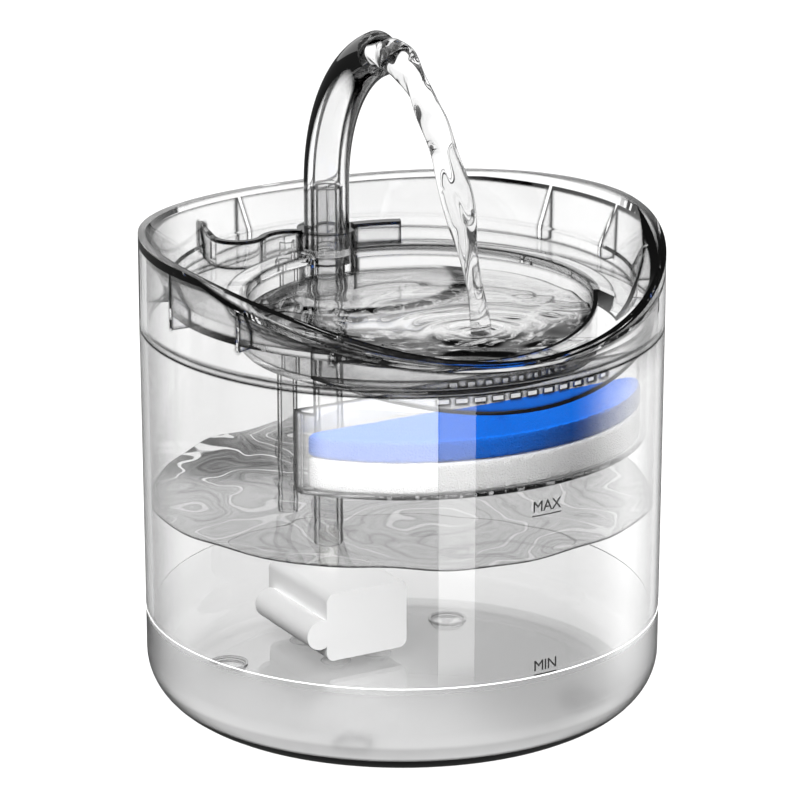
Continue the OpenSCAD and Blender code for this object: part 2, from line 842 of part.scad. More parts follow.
tank();
tank_feet();
drinking_tray();
spout();
spout_seal();
riser_pipe();
cord_guide();
filter_box();
filter_sponge();
filter_cotton();
filter_carbon();
pump_housing();
intake_cover();
motor_can();
stator_core();
stator_coil();
impeller_chamber();
chamber_cover();
chamber_seal();
impeller();
rotor_magnet();
rotor_shaft();
shaft_bushes();
suction_cups();
cord_gland();
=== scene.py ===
# %% [markdown]
# # A pet water fountain
# A clear tank holds two litres of water. A small pump lifts it through a pipe into a gooseneck spout, it
# falls into a drinking basin, and it runs back through a filter box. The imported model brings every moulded
# piece in its place, in metres, and knows what each one moves with. They could be modelled here again, but
# then two versions would have to agree. So they stay as they are and only get their finish. This script
# adds what isn't moulded: soft filter pads, water, printed marks, light and a camera.

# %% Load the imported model
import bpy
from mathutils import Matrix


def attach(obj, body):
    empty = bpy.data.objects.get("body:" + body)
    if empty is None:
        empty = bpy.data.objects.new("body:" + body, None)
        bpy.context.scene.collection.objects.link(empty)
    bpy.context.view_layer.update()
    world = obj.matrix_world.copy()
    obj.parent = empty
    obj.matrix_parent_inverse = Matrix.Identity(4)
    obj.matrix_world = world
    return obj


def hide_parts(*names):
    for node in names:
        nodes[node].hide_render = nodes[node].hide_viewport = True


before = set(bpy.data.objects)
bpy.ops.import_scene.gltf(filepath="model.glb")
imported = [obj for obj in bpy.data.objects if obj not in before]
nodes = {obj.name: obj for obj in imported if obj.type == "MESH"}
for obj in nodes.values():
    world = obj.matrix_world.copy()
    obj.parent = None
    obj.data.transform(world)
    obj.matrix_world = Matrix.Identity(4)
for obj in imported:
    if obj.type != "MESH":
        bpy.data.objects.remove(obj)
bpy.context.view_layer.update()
print(len(nodes), "moulded pieces in the frame")

# %% Tools
import math

import bmesh
import bpy
import numpy as np
from mathutils import Vector

MM = 0.001

# %% [markdown]
# ## Surfaces from arrays
# Water, pads and marks are closed skins. They could be pushed into shape by hand, but a formula gives the
# same skin on each run. So each new piece is a grid of points that numpy works out in one go, and
# `grid_piece` joins neighbouring points into quads. `lathe` makes such a grid by spinning a profile.


# %% From a grid to a piece
def new_piece(name, mesh):
    """Puts a finished mesh into the scene, as an object that stands at the origin."""
    piece = bpy.data.objects.new(name, mesh)
    bpy.context.scene.collection.objects.link(piece)
    print(name, "has", len(mesh.polygons), "faces")
    return piece


def grid_quads(nu, nv, wrap_v):
    """Points (u, v), (u + 1, v), (u + 1, v + 1) and (u, v + 1) of a grid make one quad; v may close up."""
    u = np.arange(nu - 1)[:, None]
    v = np.arange(nv if wrap_v else nv - 1)[None, :]
    number = lambda a, b: (a * nv + b % nv).ravel()
    return np.stack([number(u, v), number(u + 1, v), number(u + 1, v + 1), number(u, v + 1)], axis=1)


def grid_piece(name, points, wrap_v=False):
    """points[u, v] are places in millimetres. Points that fall together at a pole become one, and all
    faces are turned outwards."""
    mesh = bpy.data.meshes.new(name)
    quads = grid_quads(*points.shape[:2], wrap_v)
    mesh.from_pydata((points.reshape(-1, 3) * MM).tolist(), [], quads.tolist())
    skin = bmesh.new()
    skin.from_mesh(mesh)
    bmesh.ops.remove_doubles(skin, verts=skin.verts, dist=1e-6)
    bmesh.ops.recalc_face_normals(skin, faces=skin.faces)
    skin.to_mesh(mesh)
    skin.free()
    mesh.polygons.foreach_set("use_smooth", np.full(len(mesh.polygons), True))
    return new_piece(name, mesh)


def lathe(name, profile, turns):
    """Each profile point (r, z) goes round the axis: x = r cos a, y = r sin a, and z stays."""
    r, z = profile.T
    a = np.linspace(0, 2 * np.pi, turns, endpoint=False)
    points = np.stack([
        r[:, None] * np.cos(a), r[:, None] * np.sin(a), np.repeat(z[:, None], turns, axis=1)], axis=2)
    return grid_piece(name, points, wrap_v=True)


# %% [markdown]
# ## Wiring a finish
# In Blender a finish is a network of nodes. Each node has options and sockets, and hands its result to the
# next. It can be wired by hand in the editor, but a script can repeat it for every piece. So one helper
# adds a node and fills its sockets, and short helpers on top of it say what a node is used for.

# %% Nodes
# Black is used only as painted shade, laid into the colour where a clear piece should look dark
PAINTED_BLACK_SHADE = (0.0, 0.0, 0.0, 1)


def add_node(tree, kind, sockets=None, **options):
    """A node with its options set; each named or numbered socket gets a value or another node's result."""
    node = tree.nodes.new("ShaderNode" + kind)
    for option, value in options.items():
        setattr(node, option, value)
    for socket, value in (sockets or {}).items():
        if isinstance(value, bpy.types.NodeSocket):
            tree.links.new(value, node.inputs[socket])
        else:
            node.inputs[socket].default_value = value
    return node


# %% Sums on numbers, places and colours
def math_node(tree, operation, *values):
    """One sum on one or two numbers."""
    return add_node(tree, "Math", dict(enumerate(values)), operation=operation).outputs["Value"]


def vector_node(tree, operation, *values, output="Vector"):
    """One sum on places, directions or colours."""
    return add_node(tree, "VectorMath", dict(enumerate(values)), operation=operation).outputs[output]


def product(tree, first, *others):
    """first * second * third ...: for masks, 1 only where all of them are 1."""
    for other in others:
        first = math_node(tree, "MULTIPLY", first, other)
    return first


def one_minus(tree, mask):
    """1 - mask: what is inside becomes outside."""
    return math_node(tree, "SUBTRACT", 1.0, mask)


def ramp(tree, value, start, end, low=0.0, high=1.0, smooth=True):
    """Carries value from start..end to low..high, with soft ends, and holds it there beyond them."""
    return add_node(tree, "MapRange", {
        "Value": value, "From Min": start, "From Max": end, "To Min": low, "To Max": high,
    }, interpolation_type="SMOOTHSTEP" if smooth else "LINEAR").outputs["Result"]


# %% [markdown]
# ## Colours and grain
# Moulded plastic never looks one flat colour: light gathers at edges, and the surface has a fine grain. A
# painted picture would need an unwrapped surface, which these pieces don't have. So the colour is worked
# out at each point of the piece, and every further shade, painted light and shade among them, is laid over
# what the finish has already.


# %% Colours
def grey(level):
    """The same share of red, green and blue, fully opaque."""
    return (level, level, level, 1)


def new_material(name):
    """A fresh material, its network and its Principled shader."""
    material = bpy.data.materials.new(name)
    material.use_nodes = True
    return material, material.node_tree, material.node_tree.nodes["Principled BSDF"]


def object_coordinates(tree):
    """The place on the piece, in metres. It moves with the piece, so a pattern never slides."""
    return add_node(tree, "TexCoord").outputs["Object"]


def mix_colour(tree, factor, low, high):
    """low where factor is 0, high where it is 1; each is a colour or another node's result."""
    return add_node(tree, "Mix", {"Factor": factor, "A": low, "B": high}, data_type="RGBA").outputs["Result"]


def set_colour(tree, colour):
    """Hands a node's result to the base colour of the shader."""
    tree.links.new(colour, tree.nodes["Principled BSDF"].inputs["Base Color"])


def colour_so_far(tree):
    """The result that the base colour takes at present."""
    return tree.nodes["Principled BSDF"].inputs["Base Color"].links[0].from_socket


def shade_where(tree, mask, shade):
    """colour = colour * (1 - mask) + shade * mask."""
    set_colour(tree, mix_colour(tree, mask, colour_so_far(tree), shade))


def shade_by(tree, share):
    """colour = colour * share, where share is a number or a colour from another node."""
    set_colour(tree, vector_node(tree, "MULTIPLY", colour_so_far(tree), share))


# %% Grain
def noise(tree, scale, detail=3.0, rough=0.5, twist=0.0, place=None, output="Fac"):
    """Cloudy noise from 0 to 1 with `scale` clouds a metre, over the piece or over another place."""
    return add_node(tree, "TexNoise", {
        "Vector": place or object_coordinates(tree), "Scale": scale, "Detail": detail, "Roughness": rough,
        "Distortion": twist}).outputs[output]


def bump(tree, shader, height, strength, depth):
    """Tilts the light as if the surface rose by height * depth, with depth in millimetres."""
    relief = add_node(tree, "Bump", {"Height": height, "Strength": strength, "Distance": depth * MM})
    tree.links.new(relief.outputs["Normal"], shader.inputs["Normal"])


# %% [markdown]
# ## Masks
# A mask is 1 where a shade belongs and 0 elsewhere. Vertex groups or a painted map could hold it, but the
# moulded meshes stay untouched. So a mask asks where a point lies, in millimetres above the table or from
# the tank's axis, or how the surface is turned there.


# %% Masks from the place
def along(tree, axis):
    """The place on the piece along X, Y or Z, in metres."""
    return add_node(tree, "SeparateXYZ", {"Vector": object_coordinates(tree)}).outputs[axis]


def rise(tree, axis, start, end, low=0.0, high=1.0):
    """From low to high as the place along an axis goes from start to end."""
    return ramp(tree, along(tree, axis), start * MM, end * MM, low, high)


def near_height(tree, z, reach, soft):
    """1 where |height - z| is small; it falls to 0 over `soft` before the reach."""
    gap = math_node(tree, "ABSOLUTE", math_node(tree, "SUBTRACT", along(tree, "Z"), z * MM))
    return ramp(tree, gap, reach * MM, (reach - soft) * MM)


def flat_place(tree):
    """The place with its height set to 0."""
    return vector_node(tree, "MULTIPLY", object_coordinates(tree), (1, 1, 0))


def near_axis(tree, x, y, reach, soft=0.5):
    """1 in a cylinder round the upright line at x, y; it falls to 0 over `soft` before the reach."""
    gap = vector_node(tree, "DISTANCE", flat_place(tree), (x * MM, y * MM, 0), output="Value")
    return ramp(tree, gap, reach * MM, (reach - soft) * MM)


def ring_between(tree, y, inner, outer, inner_soft=0.5, outer_soft=0.5):
    """The outer cylinder less the inner one, both round the upright line at 0, y."""
    return math_node(
        tree, "SUBTRACT", near_axis(tree, 0, y, outer, outer_soft), near_axis(tree, 0, y, inner, inner_soft))


# %% Masks from the way the surface is turned
def upright(tree):
    """1 on upright walls and 0 on level ones, from the height part of the normal."""
    normal = add_node(tree, "NewGeometry").outputs["Normal"]
    height = add_node(tree, "SeparateXYZ", {"Vector": normal}).outputs["Z"]
    return ramp(tree, math_node(tree, "ABSOLUTE", height), 0.9, 0.6)


def turned_away(tree):
    """0 where the surface faces the eye, and 1 where it is seen from the side."""
    return add_node(tree, "LayerWeight", {"Blend": 0.5}).outputs["Facing"]


def edge_mask(tree, width):
    """1 along sharp edges: there the normal of an edge rounded to this width leans away from the flat one."""
    rounded = add_node(tree, "Bevel", {"Radius": width * MM}, samples=4).outputs["Normal"]
    flat = add_node(tree, "NewGeometry").outputs["Normal"]
    return ramp(tree, vector_node(tree, "DOT_PRODUCT", rounded, flat, output="Value"), 0.99, 0.92)


# %% [markdown]
# ## Clear plastic
# Tank, tray, spout and box are injection moulded in clear plastic. The eye sees it by its edges, where it
# looks through a long stretch of material. A glass shader alone shows that only with thick walls and many
# bounces, and keeps the lamps off what stands inside. So painted shade darkens the colour where a wall turns
# away and along sharp edges, and shadow rays pass straight through.

# %% Clear finish
PLASTIC_IOR, WATER_IOR = 1.49, 1.333
LAMP_SHARE = 0.98


def let_lamps_through(tree, shader):
    """Rays towards a lamp keep a share of their light; all other rays see the shader."""
    shadow_ray = add_node(tree, "LightPath").outputs["Is Shadow Ray"]
    open_air = add_node(tree, "BsdfTransparent", {"Color": grey(LAMP_SHARE)}).outputs["BSDF"]
    either = add_node(tree, "MixShader", {"Fac": shadow_ray, 1: shader.outputs["BSDF"], 2: open_air})
    tree.links.new(either.outputs["Shader"], tree.nodes["Material Output"].inputs["Surface"])


def clear_material(name, tint, side, turn, ior=PLASTIC_IOR, edge=0.0, walls_only=False):
    """Grey `tint` face on and a painted shade `side` from the side, changing over as the turn away from the
    eye goes through the two numbers of `turn`, and painted black shade within `edge` millimetres of a sharp
    edge."""
    material, tree, shader = new_material(name)
    shader.inputs["Transmission Weight"].default_value = 1.0
    shader.inputs["Roughness"].default_value = 0.0
    shader.inputs["IOR"].default_value = ior
    # Painted shade: the colour darkens towards `side` as the wall turns away from the eye, and to black along
    # sharp edges
    painted_turn_shade = ramp(tree, turned_away(tree), *turn)
    if walls_only:
        painted_turn_shade = product(tree, painted_turn_shade, upright(tree))
    set_colour(tree, mix_colour(tree, painted_turn_shade, grey(tint), grey(side)))
    if edge:
        shade_where(tree, edge_mask(tree, edge), PAINTED_BLACK_SHADE)
    let_lamps_through(tree, shader)
    return material


def paint(material, *names):
    """Gives the moulded pieces with these names one material."""
    for name in names:
        mesh = nodes[name].data
        mesh.materials.clear()
        mesh.materials.append(material)
    print(material.name, "on", *names)


# %% Clear mouldings
tank_plastic = clear_material(
    "clear_tank_plastic", tint=0.87, side=0.3, turn=(0.45, 0.95), edge=0.9, walls_only=True)
tray_plastic = clear_material(
    "clear_tray_plastic", tint=0.9, side=0.0, turn=(0.47, 0.95), edge=2.0, walls_only=True)
spout_plastic = clear_material("clear_spout_plastic", tint=0.93, side=0.0, turn=(0.37, 0.48), edge=0.7)
box_plastic = clear_material(
    "clear_box_plastic", tint=0.95, side=0.25, turn=(0.5, 1.0), edge=1.8, walls_only=True)
pipe_plastic = clear_material("clear_pipe_plastic", tint=0.93, side=0.0, turn=(0.32, 0.52), edge=0.3)
paint(tank_plastic, "tank")
paint(tray_plastic, "drinking_tray")
paint(spout_plastic, "spout")
paint(box_plastic, "filter_box")
paint(pipe_plastic, "riser_pipe", "cord_guide")

# %% [markdown]
# ## Silicone
# Feet, suction cups and the ring at the spout are soft milky silicone, which is clear where it is thin.
# Scattering inside it could be traced, but on pieces of a few millimetres it costs time and shows little.
# So the surface is see-through face on and milky where it turns away, with a faint grain.

# %% Silicone
silicone, silicone_tree, silicone_shader = new_material("clear_silicone")
silicone_shader.inputs["Base Color"].default_value = grey(0.8)
silicone_shader.inputs["Roughness"].default_value = 0.25
milky = ramp(silicone_tree, turned_away(silicone_tree), 0.3, 1.0, 0.1, 0.5)
silicone_tree.links.new(milky, silicone_shader.inputs["Alpha"])
bump(silicone_tree, silicone_shader, noise(silicone_tree, 900.0), 0.3, 0.03)
paint(silicone, "tank_feet", "suction_cups", "spout_seal")

# %% [markdown]
# ## Thick and thin places of the tray
# The tray is one moulding with a thick socket, beads and rims, and a thin lip. Thick places gather light
# from far off and look black, thin ones stay pale. Each place could get its own material, but the tray is
# one piece with one finish. So masks paint black shade or pale light into its colour where its wall is
# thick or thin.

# %% Tray: socket, splash wall and rim
SPOUT_Y, SOCKET_R = 53.0, 12.0
SPLASH_TOP, SPLASH_REACH = 157.5, 78.0
LIP_R, RIM_LINE_OUT, RIM_LINE_IN = 89.2, 88.4, 85.0
PAINTED_PALE_LIGHT = grey(0.92)
tray = tray_plastic.node_tree

# Painted black shade on the sides of the thick socket for the spout
socket_painted_shade = ramp(tray, turned_away(tray), 0.32, 0.45)
shade_where(tray, product(tray, socket_painted_shade, upright(tray), near_axis(tray, 0, SPOUT_Y, SOCKET_R)), PAINTED_BLACK_SHADE)

# Painted black shade along the top edge of the splash wall
splash_edge_painted_shade = near_height(tray, SPLASH_TOP, 1.5, 0.4)
shade_where(tray, product(tray, splash_edge_painted_shade, near_axis(tray, 0, 0, SPLASH_REACH, 1.0)), PAINTED_BLACK_SHADE)

# Painted pale light on the thin lip
lip_painted_light = one_minus(tray, near_axis(tray, 0, 0, LIP_R, 0.4))
shade_where(tray, product(tray, lip_painted_light, 0.65), PAINTED_PALE_LIGHT)

# A painted dark line lies on the front half of the rim, just inside the lip, on its level part
rim_painted_line = product(
    tray, ring_between(tray, 0, RIM_LINE_IN, RIM_LINE_OUT), one_minus(tray, upright(tray)),
    rise(tray, "Y", 45.0, 5.0), rise(tray, "Z", 142.5, 143.5))
shade_where(tray, rim_painted_line, PAINTED_BLACK_SHADE)
print("the rim's dark line is", round(RIM_LINE_OUT - RIM_LINE_IN, 1), "mm wide")

# %% Tray: basin and ledge
BASIN_R, BASIN_Y, BEAD = 59.0, -12.0, 2.6
LEDGE_END = {"x": 50.0, "y": -54.0, "reach": 13.0, "soft": 6.0}

# Painted black shade lies on the bead round the basin, the thick edge of its wall, and fades out towards the
# left
bead = product(
    tray, ring_between(tray, BASIN_Y, BASIN_R, BASIN_R + BEAD), rise(tray, "Z", 147.0, 148.0),
    rise(tray, "Z", 150.2, 149.6), rise(tray, "X", -12.0, 4.0, 0.0, 0.75))
shade_where(tray, bead, PAINTED_BLACK_SHADE)

# Painted pale light lies on the right end of the ledge in front of the basin, which is thin and clear
shade_where(tray, product(tray, near_axis(tray, **LEDGE_END), 0.8), PAINTED_PALE_LIGHT)
print("the basin is", 2 * BASIN_R, "mm across inside its bead")

# %% [markdown]
# ## Floor and foot of the tank
# The tank's floor is thick, and a painted shadow in its colour shows the shade on which it stands, darker
# towards the right. Below the lowest level the colour is a little darker and the outside is finely frosted,
# and the rounded corner ends in a painted dark line with painted shade above it. Frost could be a second
# solid, but it is only a fine texture of the mould. So masks set painted shade and roughness, the frost and
# the corner's shade on the outer skin alone.

# %% Tank: floor and foot
# FOOT is the height of the feet, and TAPER is how much narrower the tank is at its underside
FOOT = 1.5
TANK_R, TANK_H, CORNER_R, TAPER = 90.0, 135.0, 18.0, 0.7
FROST_TOP = FOOT + 34.0
tank = tank_plastic.node_tree


def outer_skin(tree):
    """1 on the outside of the tank's foot. With R0 and z0 the centre line of the rounded corner, a point
    there has sqrt(max(r - R0, 0) ** 2 + min(z - z0, 0) ** 2) equal to the corner's radius."""
    r = vector_node(tree, "LENGTH", flat_place(tree), output="Value")
    past = math_node(tree, "SUBTRACT", r, (TANK_R - CORNER_R) * MM)
    past = math_node(tree, "MAXIMUM", past, 0.0)
    below = math_node(tree, "SUBTRACT", along(tree, "Z"), (FOOT + CORNER_R) * MM)
    below = math_node(tree, "MINIMUM", below, 0.0)
    squares = math_node(tree, "ADD", product(tree, past, past), product(tree, below, below))
    front = one_minus(tree, add_node(tree, "NewGeometry").outputs["Backfacing"])
    reach = ramp(tree, math_node(tree, "SQRT", squares), (CORNER_R - 1.8) * MM, (CORNER_R - 1.3) * MM)
    return product(tree, reach, front)


# Painted shadow of the ground under the tank, laid on its floor, darker towards the right
floor_painted_shadow = mix_colour(tank, rise(tank, "X", -20.0, 30.0), grey(0.98), grey(0.64))
shade_where(tank, rise(tank, "Z", 5.0, 4.3), floor_painted_shadow)
# A little darker below the lowest level
shade_by(tank, rise(tank, "Z", FROST_TOP, FROST_TOP - 0.4, 1.0, 0.935))
tank_skin = outer_skin(tank)
# Painted shade on the outer skin of the rounded corner, and a painted dark line at its foot
foot_painted_shade = rise(tank, "Z", 14.8, 12.8, 0.0, 0.42)
foot_painted_line = rise(tank, "Z", 10.4, 7.8)
shade_where(tank, product(tank, tank_skin, math_node(tank, "MAXIMUM", foot_painted_shade, foot_painted_line)), PAINTED_BLACK_SHADE)
frost = product(tank, tank_skin, rise(tank, "Z", FROST_TOP, FROST_TOP - 2.5, 0.0, 0.28))
tank.links.new(frost, tank.nodes["Principled BSDF"].inputs["Roughness"])
print("the tank is frosted up to", FROST_TOP, "mm")

# %% [markdown]
# ## Overflow slots
# A row of slots high in the filter box lets water out when the pads are full. Their cut faces get a
# painted black shade.
# A material for those faces alone would need them picked by hand. So the mask takes the faces that lie at
# the slots' height, in the front wall, and don't look straight out from the axis.

# %% Filter box: cut faces of the slots
SLOT_Z, SLOT_REACH, FRONT_WALL_IN = 131.7, 2.4, 81.0
box = box_plastic.node_tree
box_normal = add_node(box, "NewGeometry").outputs["Normal"]
outwards = vector_node(box, "NORMALIZE", flat_place(box))
looks_out = math_node(
    box, "ABSOLUTE", vector_node(box, "DOT_PRODUCT", outwards, box_normal, output="Value"))
# Painted black shade on the cut faces of the slots
shade_where(box, product(
    box, ramp(box, looks_out, 0.8, 0.6), near_height(box, SLOT_Z, SLOT_REACH, 0.4),
    one_minus(box, near_axis(box, 0, 0, FRONT_WALL_IN))), PAINTED_BLACK_SHADE)
print("slot faces are dark from", round(SLOT_Z - SLOT_REACH, 1), "to", round(SLOT_Z + SLOT_REACH, 1), "mm")

# %% [markdown]
# ## Opaque plastics, metals and carbon
# The pump is white plastic outside, with an iron core, a copper winding, a ferrite magnet and a ground
# shaft inside, and the white pad holds carbon grains. They differ in colour, gloss and grain, but not in
# how light meets them. So one function makes them all, and a table holds what differs.

# %% Opaque finishes
GRAIN_STRENGTH = 0.3


def solid_material(name, colour, rough, metal=0.0, grain=900.0, depth=0.02, spread=0.08):
    """A moulded or metal finish: a coarse noise moves the roughness by `spread`, and one with `grain`
    clouds a metre raises the surface by `depth` millimetres."""
    material, tree, shader = new_material(name)
    shader.inputs["Metallic"].default_value = metal
    shader.inputs["Base Color"].default_value = (*colour, 1)
    patches = ramp(
        tree, noise(tree, grain * 0.2), 0.0, 1.0, rough - spread / 2, rough + spread / 2, smooth=False)
    tree.links.new(patches, shader.inputs["Roughness"])
    bump(tree, shader, noise(tree, grain), GRAIN_STRENGTH, depth)
    return material


OPAQUE_FINISHES = [
    ("white_pump_plastic", (0.95, 0.95, 0.95), 0.4, {}, ["pump_housing", "intake_cover", "cord_gland"]),
    ("white_inner_plastic", (0.82, 0.82, 0.8), 0.4, {}, ["motor_can", "impeller_chamber", "chamber_cover"]),
    ("dark_rubber", (0.03, 0.03, 0.03), 0.6, {}, ["chamber_seal", "shaft_bushes"]),
    ("blue_impeller_plastic", (0.08, 0.16, 0.4), 0.4, {}, ["impeller"]),
    ("stator_sheet_iron", (0.3, 0.3, 0.31), 0.4, {"metal": 1.0, "grain": 2500.0}, ["stator_core"]),
    ("magnet_ferrite", (0.06, 0.06, 0.065), 0.5, {}, ["rotor_magnet"]),
    ("ground_steel", (0.65, 0.65, 0.66), 0.22, {"metal": 1.0, "grain": 3000.0}, ["rotor_shaft"]),
    ("carbon_grains", (0.02, 0.02, 0.02), 0.8, {"grain": 1500.0, "depth": 0.4}, ["filter_carbon"]),
    ("enamelled_copper", (0.55, 0.2, 0.06), 0.3, {"metal": 1.0, "grain": 2500.0, "depth": 0.05},
     ["stator_coil"]),
]
for finish, colour, rough, extra, pieces in OPAQUE_FINISHES:
    paint(solid_material(finish, colour, rough, **extra), *pieces)

# %% [markdown]
# ## Highlight at the lowest level
# A thin white ring runs round the tank at the lowest level: a painted highlight, where a small step of the
# moulding catches the light. It could be a stripe in the tank's finish, but the wall is clear and a stripe
# in it would be clear too. So it is a flat ring, spun from a small rounded section that stands less than a
# tenth of a millimetre proud of the wall.

# %% Highlight at the lowest level
LINE_Z = 33.9
LINE_SECTION = [(-0.10, -0.24), (0.04, -0.20), (0.08, -0.12), (0.08, 0.12), (0.04, 0.20), (-0.10, 0.24),
                (-0.14, 0.0), (-0.10, -0.24)]


def wall_radius(z):
    """The outside of the tank at height z above its underside: R - taper * (H - z) / H."""
    return TANK_R - TAPER * (TANK_H - z) / TANK_H


# The white ring is a painted highlight, standing for the light on a small moulded step
line_place = np.array([wall_radius(LINE_Z), FOOT + LINE_Z])
highlight_ring = lathe("lowest_level_highlight", line_place + LINE_SECTION, turns=360)
highlight_ring.data.materials.append(solid_material("white_painted_highlight", (0.9, 0.9, 0.9), 0.4))
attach(highlight_ring, "base")

# %% [markdown]
# ## Level words
# Two words are printed in black at the front, each with a bar under it. Letters could be cut from a map,
# but small ones turn ragged. So they are flat text made a mesh and rolled on to the wall: the way along the
# line becomes an angle, the way up stays a height, and the ink's thickness is added to the radius.

# %% Printed words
LETTER_SIZE, LETTER_SPACE, INK_HALF, INK_PROUD = 5.4, 0.95, 0.03, 0.04
BOLD_SHIFT = 0.05
BAR_Y, BAR_HALF, BAR_STEPS = -1.35, 0.2, 17
printing_ink = solid_material("black_printing_ink", (0.012, 0.012, 0.012), 0.45, grain=3000.0, depth=0.005)


def flat_letters(name, word):
    """The points and faces of centred letters that lie flat, with half the ink on each side of z = 0."""
    text = bpy.data.curves.new(name, "FONT")
    text.body, text.align_x = word, "CENTER"
    text.size, text.space_character, text.extrude = LETTER_SIZE, LETTER_SPACE, INK_HALF
    holder = bpy.data.objects.new(name + "_flat", text)
    bpy.context.scene.collection.objects.link(holder)
    flat = holder.evaluated_get(bpy.context.evaluated_depsgraph_get()).to_mesh()
    places = np.empty(len(flat.vertices) * 3)
    flat.vertices.foreach_get("co", places)
    faces = [list(face.vertices) for face in flat.polygons]
    bpy.data.objects.remove(holder)
    return places.reshape(-1, 3), faces


def flat_bar(half_width):
    """A box from -half_width to half_width, cut into steps so that it can follow the wall."""
    x = np.linspace(-half_width, half_width, BAR_STEPS + 1)
    section = np.array([(-BAR_HALF, -INK_HALF), (-BAR_HALF, INK_HALF), (BAR_HALF, INK_HALF),
                        (BAR_HALF, -INK_HALF)]) + (BAR_Y, 0)
    places = np.concatenate([np.repeat(x, 4)[:, None], np.tile(section, (len(x), 1))], axis=1)
    count = len(places)
    ends = [[0, 1, 2, 3], [count - 1, count - 2, count - 3, count - 4]]
    return places, grid_quads(len(x), 4, wrap_v=True).tolist() + ends


def level_word(name, word, base_z, turn):
    """Rolls the word on to the wall: angle = turn + x / R, height = base_z + y, radius = R + z."""
    letters, letter_faces = flat_letters(name, word)
    twice = np.concatenate([letters, letters + (BOLD_SHIFT, 0, 0)])
    half_width = np.abs(twice[:, 0]).max()
    bar, bar_faces = flat_bar(half_width)
    x, y, z = np.concatenate([twice, bar]).T
    faces = letter_faces + [[corner + len(letters) for corner in face] for face in letter_faces] \
        + [[corner + len(twice) for corner in face] for face in bar_faces]
    radius = wall_radius(base_z) + INK_PROUD + z
    angle = math.radians(turn) + x / radius
    places = np.stack([radius * np.cos(angle), radius * np.sin(angle), FOOT + base_z + y], axis=1) * MM
    mesh = bpy.data.meshes.new(name)
    mesh.from_pydata(places.tolist(), [], faces)
    mesh.materials.append(printing_ink)
    piece = new_piece(name, mesh)
    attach(piece, "base")
    print(name, "is", round(2 * half_width, 1), "mm wide")


level_word("word_max", "MAX", base_z=92.1, turn=-87.9)
level_word("word_min", "MIN", base_z=35.95, turn=-87.8)

# %% [markdown]
# ## Water in the tank
# Still water shows only by its top, where ripples bend what lies behind into pale curled lines. A filled
# solid would bend and darken the pump as well, and a fluid simulation gives a new picture each time. So the
# level is a thin wavy sheet, and the curls are painted light and shade in its colour: the contour lines of a
# noise, pale lines on grey, bolder near the riser pipe and darkest in a painted shade at the back left.

# %% Contour lines
FIELD_SCALE, FIELD_PUSH = 26.0, 0.03
# Each hill has its height, and the middle, reach and softness of its foot
HILLS = {
    "riser pipe": (0.5, {"x": 0.0, "y": SPOUT_Y, "reach": 30.0, "soft": 28.0}),
    "cord guide": (0.35, {"x": -4.7, "y": 75.0, "reach": 22.0, "soft": 20.0}),
    "middle of the front": (0.45, {"x": -10.0, "y": -38.0, "reach": 48.0, "soft": 46.0}),
}


def twisted_field(tree):
    """A noise whose place is pushed about by a second one, plus a soft hill of its own height at each
    place in HILLS, so that the contour lines close in rings there."""
    push = noise(tree, FIELD_SCALE, 2.0, output="Color")
    pushed = vector_node(tree, "MULTIPLY_ADD", push, (FIELD_PUSH, FIELD_PUSH, 0), object_coordinates(tree))
    field = noise(tree, FIELD_SCALE, 1.5, place=pushed)
    for height, foot in HILLS.values():
        field = math_node(tree, "ADD", field, product(tree, near_axis(tree, **foot), height))
    return field


def contour_shades(tree, field, number, shades):
    """field * number runs up and down between 0 and 1, and each part of that way takes its own shade."""
    way = math_node(tree, "PINGPONG", math_node(tree, "MULTIPLY", field, number), 1.0)
    bands = add_node(tree, "ValToRGB", {"Fac": way})
    bands.color_ramp.interpolation = "EASE"
    stops = bands.color_ramp.elements
    for place, _ in shades[1:-1]:
        stops.new(place)
    for stop, (_, shade) in zip(stops, shades):
        stop.color = grey(shade)
    return bands.outputs["Color"]


# %% Water level in the tank
TANK_LEVEL, LEVEL_R = FOOT + 75.0, 86.95
PIPE_X, PIPE_Y = 2, 50


def ripples(x, y):
    """Rings that run out from the riser pipe and die down with the distance d, crossed by slow swells,
    and five, nine and seventeen waves round the wall that grow with the square of the nearness to it."""
    d = np.hypot(x - PIPE_X, y - PIPE_Y)
    a = np.arctan2(y, x)
    wall = np.clip((np.hypot(x, y) - 55) / 32, 0, 1) ** 2
    rings = 0.8 * np.exp(-d / 35) * np.sin(d / 3.4 + 0.7 * np.sin(x / 13.0))
    swell = 0.4 * np.sin(x / 9.5 + 0.8 * np.sin(y / 14)) * np.sin(y / 12.0 + 0.6)
    edge = wall * (0.4 * np.sin(5 * a + 0.6) + 0.35 * np.sin(9 * a + 2.0) + 0.25 * np.sin(17 * a))
    return rings + swell + edge


def water_sheet(name, centre_y, radius, level, thick, waves, follow, turns=300, rings=110):
    """A disc: x = r cos a, y = r sin a. The top lies at level + waves, and the underside a thickness below
    it, with the share `follow` of its waves. At the wall they meet in a soft edge, where the thickness
    thick * sqrt(1 - (r / R) ** 70) shrinks to nothing."""
    t = (1 - (1 - np.linspace(0, 1, rings)) ** 1.7)[:, None]
    a = np.linspace(0, 2 * np.pi, turns, endpoint=False)[None, :]
    x, y = radius * t * np.cos(a), centre_y + radius * t * np.sin(a)
    h = waves(x, y)
    part = thick * np.sqrt(np.maximum(1 - t ** 70, 0)) * np.ones_like(x)
    top = np.stack([x, y, level + h], axis=2)
    low = np.stack([x, y, level + (1 - (1 - follow) * (part / thick)) * h - part], axis=2)
    return grid_piece(name, np.concatenate([top, low[-2::-1]]), wrap_v=True)


tank_water = water_sheet(
    "water_in_tank", centre_y=0, radius=LEVEL_R, level=TANK_LEVEL, thick=0.4, waves=ripples, follow=1.0)
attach(tank_water, "base")

